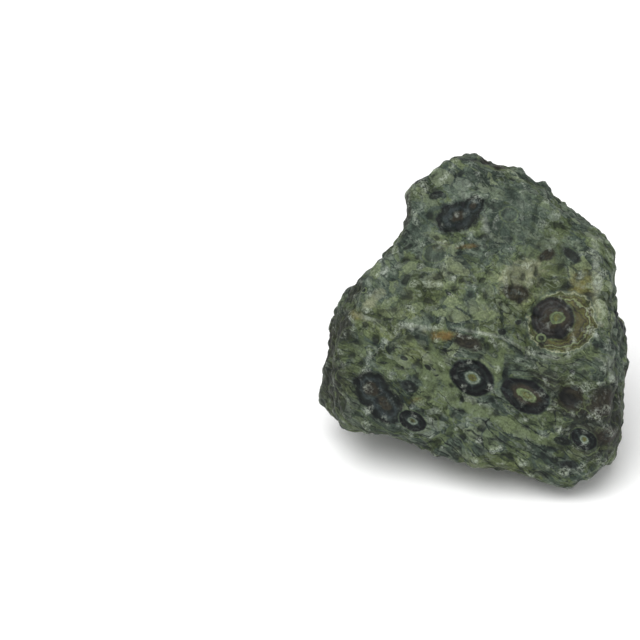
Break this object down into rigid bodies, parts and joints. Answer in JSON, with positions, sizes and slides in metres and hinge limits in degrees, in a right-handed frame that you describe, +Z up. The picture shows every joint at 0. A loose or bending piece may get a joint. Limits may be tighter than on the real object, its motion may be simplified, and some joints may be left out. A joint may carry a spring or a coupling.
{
  "type": "rough kambaba jasper",
  "caption": "Fist-sized rough lump of green kambaba jasper with dark ringed eyes, resting on a small flat spot.",
  "frame": {"origin": "on the surface that the stone rests on, under the middle of its bounding box", "axes": "+Z up, -Y towards the side that shows the broad front faces, +X to their right"},
  "size_m": [0.0812, 0.07, 0.0793],
  "materials": {
    "kambaba_jasper": "broken stone, dull with slightly glossy grains, mottled green with dark ringed orbs"
  },
  "bodies": {
    "root": {"stone": "kambaba_jasper"}
  },
  "joints": []
}
